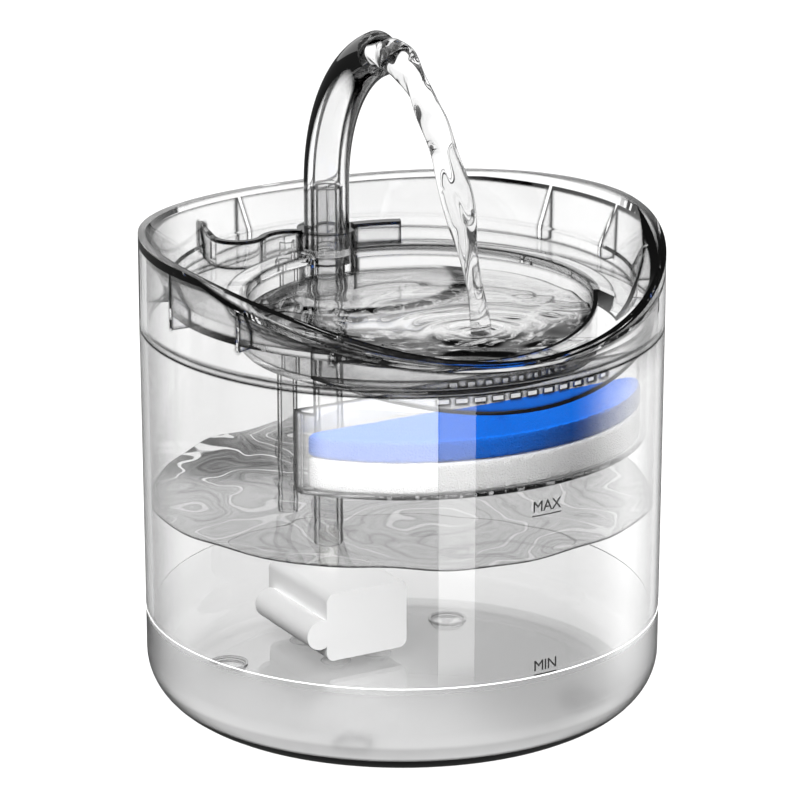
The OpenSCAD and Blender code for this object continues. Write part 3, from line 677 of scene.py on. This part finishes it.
# %% Finish of the tank's water
WATER_TURN = (0.72, 0.9)
STILL_PAINTED_SHADES = [
    (0.0, 0.42), (0.05, 0.62), (0.3, 0.76), (0.5, 0.66), (0.7, 0.76), (0.88, 0.62), (0.93, 1.0), (1.0, 1.0)]
BOLD_PATCH = {"x": -15.0, "y": 48.0, "reach": 46.0, "soft": 28.0}
DARKEST_PAINTED_SHADE_PATCH = {"x": -44.0, "y": 68.0, "reach": 44.0, "soft": 30.0}
still_water = clear_material("still_water", tint=0.82, side=0.7, turn=WATER_TURN, ior=WATER_IOR)
still = still_water.node_tree
# Painted light and shade: pale contour lines and grey bands, bolder near the riser pipe and darkest at the
# back left
painted_ripple_light = contour_shades(still, twisted_field(still), 10.0, STILL_PAINTED_SHADES)
faint = product(still, math_node(still, "POWER", painted_ripple_light, 0.75), 0.93)
bold = math_node(still, "POWER", painted_ripple_light, 2.2)
darkest_painted_shade = math_node(still, "POWER", painted_ripple_light, 5.5)
shade_by(still, mix_colour(still, near_axis(still, **BOLD_PATCH), faint, bold))
shade_where(still, near_axis(still, **DARKEST_PAINTED_SHADE_PATCH), darkest_painted_shade)
tank_water.data.materials.append(still_water)
print("the tank's water stands", TANK_LEVEL - FOOT, "mm above its underside")

# %% [markdown]
# ## Water in the basin
# The falling water stirs the basin: rings spread from where it lands, and chop builds up against the front
# wall. A flat disc with a bump map keeps a straight edge, which gives it away. So the waves are real
# heights in a sheet like the tank's, with streaks of painted light and shade in its colour that follow the
# round wall.

# %% Water level in the basin
BASIN_LEVEL = FOOT + 140.2
LANDING_X, LANDING_Y = 6, -40


def basin_waves(x, y):
    """Rings that die down with the distance d from where the water lands, chop that grows towards the
    front wall, and slow swells."""
    d = np.hypot(x - LANDING_X, y - LANDING_Y)
    rings = 0.8 * np.exp(-d / 20) * np.cos(d / 1.9 + 0.5 * np.sin(x / 6.0))
    front = np.clip((np.hypot(x, y - BASIN_Y) - 25) / 34, 0, 1) * np.clip((8 - y) / 40, 0, 1)
    chop = 0.75 * front * np.sin(x / 4.2 + 1.2 * np.sin(y / 5.0)) * np.sin(y / 2.9 + 0.8 * np.sin(x / 7.0))
    return rings + chop + 0.25 * np.sin(x / 7.0 + 0.9 * np.sin(y / 9.0)) * np.sin(y / 8.0)


basin_water = water_sheet(
    "water_in_basin", centre_y=BASIN_Y, radius=BASIN_R - 0.1, level=BASIN_LEVEL, thick=1.4,
    waves=basin_waves, follow=0.2)
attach(basin_water, "tray")

# %% Finish of the basin's water
SHELF_Y, SHELF_R = 38.0, 43.0
AROUND, ACROSS = 2.0, 170.0
CALM_PATCH = {"x": 18.0, "y": 4.0, "reach": 56.0, "soft": 12.0}
MOVING_PAINTED_SHADES = [(0.0, 0.0), (0.26, 0.0), (0.34, 0.5), (0.5, 0.9), (0.64, 0.12), (0.76, 0.9), (1.0, 1.0)]


def ring_field(tree):
    """Noise over (x / r, y / r) times AROUND and r times ACROSS: streaks that follow the basin's wall."""
    from_middle = vector_node(
        tree, "MULTIPLY_ADD", object_coordinates(tree), (1, 1, 0), (0, -BASIN_Y * MM, 0))
    way = vector_node(tree, "NORMALIZE", from_middle)
    r = vector_node(tree, "LENGTH", from_middle, output="Value")
    height = add_node(tree, "CombineXYZ", {"Z": product(tree, r, ACROSS)}).outputs["Vector"]
    place = vector_node(tree, "MULTIPLY_ADD", way, (AROUND, AROUND, 0), height)
    return noise(tree, 1.0, 2.5, twist=0.8, place=place)


moving_water = clear_material("moving_water", tint=0.97, side=0.0, turn=WATER_TURN, ior=WATER_IOR)
moving = moving_water.node_tree
# Painted light and shade: black and pale streaks round the wall and along the shelf's edge, none in the calm
# middle
streaks = contour_shades(moving, ring_field(moving), 4.0, MOVING_PAINTED_SHADES)
shelf_edge = ring_between(
    moving, SHELF_Y, inner=SHELF_R - 5.0, outer=SHELF_R + 1.0, inner_soft=3.0, outer_soft=2.0)
calm = product(moving, near_axis(moving, **CALM_PATCH), one_minus(moving, shelf_edge))
shade_by(moving, mix_colour(moving, calm, streaks, grey(1.0)))
basin_water.data.materials.append(moving_water)
print("the basin's water stands", round(BASIN_LEVEL - TANK_LEVEL, 1), "mm above the tank's")

# %% [markdown]
# ## The running water
# The water leaves the spout a little upwards and falls in a parabola, and it swells into beads before it
# breaks up. A curve with a round bevel would look like a glass rod. So the section is an oval that turns on
# the way down, with small lobes, and its size swings as it falls.

# %% Water stream
STREAM_DROP, MOUTH_Y, MOUTH_Z, CLIMB, PULL = 56.0, 16.3, 226.5, 0.394, 0.034
STREAM_START = -0.09


def stream(steps=260, sides=72):
    """A tube along a parabola: height = mouth + climb * d - pull * d * d after a way of d forwards. At each
    step the section is radius * (1 + an oval that turns + small lobes), and its ends close to a point."""
    s = np.linspace(STREAM_START, 1, steps)
    d = STREAM_DROP * s
    sideways = np.interp(d, [-6, 0, 20, 40, 56], [0, 0, 2.5, 6.5, 7.9])
    path = np.stack([sideways, MOUTH_Y - d, MOUTH_Z + CLIMB * d - PULL * d * d], axis=1)
    ahead = np.gradient(path, axis=0)
    ahead /= np.linalg.norm(ahead, axis=1)[:, None]
    side = np.cross(ahead, [0.0, 0.0, 1.0])
    side /= np.linalg.norm(side, axis=1)[:, None]
    over = np.cross(side, ahead)
    radius = np.interp(
        s, [STREAM_START, 0, 0.12, 0.4, 0.62, 0.8, 0.93, 1], [4.2, 4.6, 5.2, 4.9, 4.4, 4.6, 3.0, 3.6])
    radius = radius + 0.55 * np.maximum(s, 0) * np.sin(26 * s + 1.2)
    a = np.linspace(0, 2 * np.pi, sides, endpoint=False)
    down = s[:, None]
    turn = 5.5 * down + a[None, :]
    shape = 1 + 0.16 * np.cos(2 * turn) + 0.05 * np.sin(3 * turn + 17 * down) \
        + 0.03 * np.sin(5 * a[None, :] + 31 * down)
    r = (radius[:, None] * shape)[..., None]
    ring = path[:, None, :] + r * (
        np.cos(a)[None, :, None] * side[:, None, :] + np.sin(a)[None, :, None] * over[:, None, :])
    ends = [np.repeat(path[:1, None, :], sides, axis=1), ring, np.repeat(path[-1:, None, :], sides, axis=1)]
    return grid_piece("water_stream", np.concatenate(ends), wrap_v=True)


jet = stream()
jet.data.materials.append(
    clear_material("running_water", tint=0.97, side=0.0, turn=(0.55, 0.85), ior=WATER_IOR))
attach(jet, "spout")

# %% [markdown]
# ## Filter pads
# The white pad and the blue sponge are cut to the plan of the box: a slice of a disc with a straight back
# and straight ends. Cut foam and felt keep their shape, so a cloth simulation would leave them as they are.
# Each is a closed slab with soft edges instead, and a smoothed random grain makes its skin uneven.

# %% Shape of a pad
PAD_R, PAD_BACK, PAD_HALF = 82.3, 47.9, 65.2
PAD_MIDDLE = np.array([0.0, -64.0])
PAD_TURNS, FLAT_RINGS, EDGE_RINGS = 520, 26, 18
CORNER_POWER = 24.0


def pad_outline():
    """Rays from the middle of the plan and how far each reaches: to the arc, the back or an end, whichever
    is nearest, where (a ** -24 + b ** -24 + c ** -24) ** (-1 / 24) rounds the corners between them."""
    a = np.linspace(0, 2 * np.pi, PAD_TURNS, endpoint=False)
    ray = np.stack([np.cos(a), np.sin(a)], axis=1)
    b = ray @ PAD_MIDDLE
    to_arc = -b + np.sqrt(b * b - PAD_MIDDLE @ PAD_MIDDLE + PAD_R ** 2)
    to_back = np.where(ray[:, 1] > 1e-6, (-PAD_BACK - PAD_MIDDLE[1]) / np.maximum(ray[:, 1], 1e-6), 1e9)
    to_end = PAD_HALF / np.maximum(np.abs(ray[:, 0]), 1e-6)
    nearest = to_arc ** -CORNER_POWER + to_back ** -CORNER_POWER + to_end ** -CORNER_POWER
    return ray, nearest ** (-1 / CORNER_POWER)


def pad(name, low, high, edge, rough, seed):
    """Rings of the plan run from the middle of the underside out to its edge, round the edge in a half
    circle of radius `edge`, and back to the middle of the top; a grain then pulls each point inwards."""
    ray, reach = pad_outline()
    rings = 2 * FLAT_RINGS + EDGE_RINGS
    round_edge = slice(FLAT_RINGS, FLAT_RINGS + EDGE_RINGS)
    climb = np.linspace(-90, 90, EDGE_RINGS)
    curve = np.radians(climb)
    middle_z, half = (low + high) / 2, (high - low) / 2
    inset = np.zeros(rings)
    inset[:FLAT_RINGS] = np.linspace(1, 0.04, FLAT_RINGS)
    inset[-FLAT_RINGS:] = np.linspace(0.04, 1, FLAT_RINGS)
    z = np.full(rings, low)
    z[-FLAT_RINGS:] = high
    z[round_edge] = middle_z + (half - edge) * np.sign(np.sin(curve)) * np.minimum(1, np.abs(climb) / 10) \
        + edge * np.sin(curve)
    pull = np.full(rings, edge)
    pull[round_edge] = edge * (1 - np.cos(curve))
    r = (reach[None, :] - pull[:, None]) * (1 - inset[:, None])
    xy = PAD_MIDDLE + r[..., None] * ray[None, :, :]
    points = np.concatenate([xy, np.repeat(z[:, None, None], PAD_TURNS, axis=1)], axis=2)
    grain = np.random.default_rng(seed).normal(0, rough, (rings, PAD_TURNS))
    grain = (grain + np.roll(grain, 1, 0) + np.roll(grain, 1, 1) + np.roll(grain, -1, 1)) / 2
    grain = np.abs(grain[1:-1])
    points[1:-1, :, :2] -= grain[..., None] * ray[None, :, :]
    points[1:-1, :, 2] += np.sign(middle_z - z[1:-1, None]) * grain
    return grid_piece(name, points, wrap_v=True)


cotton = pad("filter_cotton_pad", low=101.25, high=112.0, edge=1.4, rough=0.12, seed=3)
sponge = pad("filter_sponge_pad", low=112.25, high=119.7, edge=1.6, rough=0.10, seed=5)
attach(sponge, "filter_pads")
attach(cotton, "filter_pads")
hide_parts("filter_sponge")
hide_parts("filter_cotton")

# %% [markdown]
# ## Foam and felt
# The sponge is open blue foam and the pad is white felt. Pores or fibres in the mesh would take millions of
# faces. So a cell pattern of the right size gives the relief, a noise mixes a darker and a lighter tone, and
# a painted shade makes the cut sides darker than the top, most of all at the right, where the box keeps the
# light off.


# %% Finish of the pads
def pad_material(name, low, high, cell, rough, left_share, right_share):
    """A noise mixes the tones low and high, `cell` cells a metre give the relief, and a painted shade leaves
    the cut sides from left_share of their light at the left to right_share at the right."""
    material, tree, shader = new_material(name)
    shader.inputs["Roughness"].default_value = rough
    shader.inputs["Specular IOR Level"].default_value = 0.0
    set_colour(tree, mix_colour(tree, noise(tree, cell * 0.7, 5.0, 0.7), (*low, 1), (*high, 1)))
    # Painted shade on the cut sides, deeper towards the right
    side_share = rise(tree, "X", -18.0, 22.0, left_share, right_share)
    loss = product(tree, upright(tree), math_node(tree, "SUBTRACT", side_share, 1.0))
    shade_by(tree, math_node(tree, "ADD", 1.0, loss))
    cells = add_node(tree, "TexVoronoi", {"Vector": object_coordinates(tree), "Scale": cell})
    bump(tree, shader, cells.outputs["Distance"], 0.5, 0.8)
    print(name, "has cells of", round(1000 / cell, 2), "mm")
    return material


sponge.data.materials.append(pad_material(
    "blue_sponge", low=(0.0, 0.14, 0.86), high=(0.0, 0.23, 1.0), cell=1400.0, rough=0.85,
    left_share=0.66, right_share=0.24))
cotton.data.materials.append(pad_material(
    "white_filter_cotton", low=(0.66, 0.66, 0.66), high=(0.86, 0.86, 0.86), cell=1800.0, rough=0.95,
    left_share=1.0, right_share=0.68))

# %% [markdown]
# ## Pale floor
# The fountain stands on a plain white table. A floor bright enough to look white under the lamps would also
# light the clear walls from below and wash them out. So the floor glows only for rays from the eye and
# through the plastic, keeps the object's shadow, and looks darker in mirrors, above all before the fountain.

# %% Floor
FLOOR_HALF = 6.0
FLOOR_GREY, FLOOR_GLOW = 0.36, 0.6
MIRROR_GREY, MIRROR_GLOW = 0.03, 0.05
CAMERA_SIDE = (-0.5, -0.866, 0)
BEFORE_FROM, BEFORE_TO = -0.09, 0.07
floor_mesh = bpy.data.meshes.new("floor")
floor_corners = [(-FLOOR_HALF, -FLOOR_HALF, 0), (FLOOR_HALF, -FLOOR_HALF, 0), (FLOOR_HALF, FLOOR_HALF, 0),
                 (-FLOOR_HALF, FLOOR_HALF, 0)]
floor_mesh.from_pydata(floor_corners, [], [(0, 1, 2, 3)])
floor = new_piece("floor", floor_mesh)


def seen_rays(tree):
    """1 for rays from the camera, from gloss and through glass, 0 for the rays that light the object."""
    path = add_node(tree, "LightPath").outputs
    seen = math_node(tree, "MAXIMUM", path["Is Camera Ray"], path["Is Glossy Ray"])
    seen = math_node(tree, "MAXIMUM", seen, path["Is Transmission Ray"])
    return product(tree, seen, math_node(tree, "LESS_THAN", path["Diffuse Depth"], 0.5))


floor_material, ground, floor_shader = new_material("pale_floor")
floor_shader.inputs["Roughness"].default_value = 0.9
floor_shader.inputs["Emission Color"].default_value = grey(1.0)
path = add_node(ground, "LightPath").outputs
mirror_ray = math_node(
    ground, "MAXIMUM", math_node(ground, "SUBTRACT", path["Is Glossy Ray"], path["Is Transmission Ray"]), 0.0)
nearness = vector_node(ground, "DOT_PRODUCT", object_coordinates(ground), CAMERA_SIDE, output="Value")
mirrored_once = math_node(ground, "GREATER_THAN", path["Glossy Depth"], 0.5)
beside_tank = one_minus(ground, near_axis(ground, 0, 0, reach=112.0, soft=10.0))
before = product(
    ground, mirrored_once, ramp(ground, nearness, BEFORE_FROM, BEFORE_TO), beside_tank, seen_rays(ground))
glow = product(
    ground, seen_rays(ground), ramp(ground, mirror_ray, 0.0, 1.0, FLOOR_GLOW, MIRROR_GLOW, smooth=False),
    one_minus(ground, before))
ground.links.new(glow, floor_shader.inputs["Emission Strength"])
dull = math_node(ground, "MAXIMUM", mirror_ray, before)
set_colour(ground, mix_colour(ground, dull, grey(FLOOR_GREY), grey(MIRROR_GREY)))
floor_mesh.materials.append(floor_material)
print("the floor is", 2 * FLOOR_HALF, "m across")

# %% [markdown]
# ## White surroundings
# Behind the fountain is plain white, and above it a dark studio ceiling, which draws the dark lines in the
# rims. A backdrop mesh would show its own edges in every reflection. So the world does both: white all round
# for the camera, dark above for mirrors and glass, and a plain even light for everything else.

# %% World
EVEN_LIGHT, CEILING_LIGHT = 1.05, 0.08
CEILING_FROM, CEILING_TO = 0.42, 0.62


def choose(tree, switch, off, on):
    """off where the switch is 0 and on where it is 1; each is a number or another node's result."""
    return add_node(tree, "Mix", {"Factor": switch, "A": off, "B": on}).outputs["Result"]


world = bpy.data.worlds.new("studio")
bpy.context.scene.world = world
world.use_nodes = True
sky = world.node_tree
background = sky.nodes["Background"]
background.inputs["Color"].default_value = grey(1.0)
direction = add_node(sky, "TexCoord").outputs["Generated"]
upwards = add_node(sky, "SeparateXYZ", {"Vector": direction}).outputs["Z"]
ceiling = ramp(sky, upwards, CEILING_FROM, CEILING_TO, 1.0, CEILING_LIGHT)
shown = choose(sky, add_node(sky, "LightPath").outputs["Is Camera Ray"], ceiling, 1.0)
sky.links.new(choose(sky, seen_rays(sky), EVEN_LIGHT, shown), background.inputs["Strength"])
print("the ceiling starts", round(math.degrees(math.asin(CEILING_FROM))), "degrees up")

# %% [markdown]
# ## Lamps
# Three soft boxes light the pump, the pads and the floor: a key from the upper left, one from the front and a
# fill from the right. Small lamps would draw hard spots on the clear walls. So they are wide, and mirrors and
# glass don't see them at all.


# %% Soft boxes
def softbox(name, place, aim, width, watts):
    """A square lamp of this width in metres at `place`, turned so that it looks at `aim`."""
    lamp = bpy.data.lights.new(name, "AREA")
    lamp.shape, lamp.size, lamp.energy = "SQUARE", width, watts
    item = bpy.data.objects.new(name, lamp)
    item.location = place
    item.rotation_euler = (Vector(aim) - Vector(place)).to_track_quat("-Z", "Y").to_euler()
    item.visible_glossy = item.visible_transmission = False
    bpy.context.scene.collection.objects.link(item)
    print(name, watts, "W")


softbox("key_light", place=(-0.9, -1.0, 1.4), aim=(0, 0, 0.1), width=1.0, watts=46.0)
softbox("front_light", place=(-0.45, -1.3, 0.5), aim=(0, 0, 0.08), width=0.9, watts=18.0)
softbox("fill_light", place=(1.2, -0.5, 0.9), aim=(0, 0, 0.1), width=0.8, watts=16.0)

# %% [markdown]
# ## Camera
# The camera looks at the fountain from the front left and a little above, with a long lens, as a product is
# usually shown. It could be moved by hand until the view looks right, but angles are easier to repeat.
# So its place follows from an azimuth, an elevation and a distance, and it looks back along the same line.

# %% Camera
# The lens and the sensor are in millimetres, everything else in metres
AZIMUTH, ELEVATION, DISTANCE = math.radians(-30), math.radians(17.677), 1.5714
LENS, SENSOR, FAR_CLIP = 205.2, 36, 20
AIM_HEIGHT, AIM_LEFT = 0.10744, 0.00076
towards = Vector((
    math.sin(AZIMUTH) * math.cos(ELEVATION), -math.cos(AZIMUTH) * math.cos(ELEVATION), math.sin(ELEVATION)))
rightwards = Vector((math.cos(AZIMUTH), math.sin(AZIMUTH), 0))
camera_data = bpy.data.cameras.new("camera")
camera_data.lens, camera_data.sensor_width, camera_data.clip_end = LENS, SENSOR, FAR_CLIP
camera = bpy.data.objects.new("camera", camera_data)
camera.location = Vector((0, 0, AIM_HEIGHT)) - AIM_LEFT * rightwards + DISTANCE * towards
camera.rotation_euler = (-towards).to_track_quat("-Z", "Y").to_euler()
bpy.context.scene.collection.objects.link(camera)
bpy.context.scene.camera = camera
print("the camera stands", [round(c, 3) for c in camera.location])

# %% [markdown]
# ## Reflected light cards
# A broad pale sheen, a narrow bright band beside it and a soft light at the right lie on the tank's wall.
# They are reflections of wide lights near the camera. Real lamps in their place would also light the pads.
# So three cards lie on the floor that only mirror rays see, and the shape of each is worked out backwards,
# as the mirror image of the patch of the wall in which it shows.

# %% Light cards
CARD_COLUMNS, CARD_ROWS, CARD_HEIGHT, CAMERA_TURN = 24, 12, 1.0, -120


def fade_in(share, soft):
    """0 at the start, rising evenly to 1 over the share `soft`."""
    return np.clip(share / soft, 0, 1)


def card_material(name, strength):
    """Plain light of this strength, times the card's own fade."""
    material = bpy.data.materials.new(name)
    material.use_nodes = True
    tree = material.node_tree
    tree.nodes.clear()
    fade = add_node(tree, "Attribute", attribute_name="fade").outputs["Fac"]
    light = add_node(tree, "Emission", {"Strength": product(tree, fade, strength)}).outputs["Emission"]
    add_node(tree, "OutputMaterial", {"Surface": light})
    return material


def light_card(name, turns, heights, strength, soft_start, soft_height, soft_end=0.0):
    """A patch of the wall at angles `turns` from the camera's side and at `heights` is mirrored: with d the
    line of sight and n the normal, r = d - 2 (d . n) n, followed down to the floor. Its light fades over
    the share soft_start at its first side, soft_end at its last, and soft_height at its top and foot."""
    a = np.radians(np.linspace(*turns, CARD_COLUMNS))[:, None] + math.radians(CAMERA_TURN)
    z = np.linspace(*heights, CARD_ROWS)[None, :]
    normal = np.stack(np.broadcast_arrays(np.cos(a), np.sin(a), 0 * z), axis=-1)
    place = np.stack(np.broadcast_arrays(TANK_R * np.cos(a), TANK_R * np.sin(a), z), axis=-1)
    sight = place - np.array(camera.location) / MM
    sight /= np.linalg.norm(sight, axis=-1, keepdims=True)
    mirrored = sight - 2 * (sight * normal).sum(-1, keepdims=True) * normal
    run = (CARD_HEIGHT - place[..., 2:]) / mirrored[..., 2:]
    card = grid_piece(name, place + run * mirrored)
    u, v = np.linspace(0, 1, CARD_COLUMNS)[:, None], np.linspace(0, 1, CARD_ROWS)[None, :]
    fade = fade_in(u, soft_start) * fade_in(v, soft_height) * fade_in(1 - v, soft_height)
    if soft_end:
        fade = fade * fade_in(1 - u, soft_end)
    stored = card.data.attributes.new("fade", "FLOAT", "POINT").data
    stored.foreach_set("value", fade.astype(np.float32).ravel())
    card.data.materials.append(card_material(name, strength))
    card.visible_camera = card.visible_diffuse = card.visible_transmission = False
    card.visible_shadow = card.visible_volume_scatter = False


light_card("broad_card", turns=(-23, 7.5), heights=(98, 136), strength=13.0, soft_start=0.2, soft_height=0.14)
light_card("band_card", turns=(7.5, 15.5), heights=(34, 136), strength=4.5, soft_start=0.04, soft_height=0.05)
light_card(
    "side_card", turns=(38, 80), heights=(14, 136), strength=2.7, soft_start=0.45, soft_height=0.04,
    soft_end=0.55)

# %% [markdown]
# ## How the light is followed
# A ray through both walls, the tray, the water and the filter box can cross more than a dozen skins. With
# Blender's own limit of twelve bounces it would end in black. So it may go on forty times through clear
# skins and eight times off mirrors. The light patterns that glass throws come out as grain, and are left off.

# %% Render settings
CLEAR_BOUNCES, MIRROR_BOUNCES = 40, 8
scene = bpy.context.scene
scene.view_settings.view_transform = "Standard"
scene.cycles.max_bounces = CLEAR_BOUNCES
scene.cycles.transmission_bounces = CLEAR_BOUNCES
scene.cycles.transparent_max_bounces = CLEAR_BOUNCES
scene.cycles.glossy_bounces = MIRROR_BOUNCES
scene.cycles.use_denoising = True
scene.cycles.caustics_reflective = False
scene.cycles.caustics_refractive = False
print("clear skins bounce a ray up to", CLEAR_BOUNCES, "times")
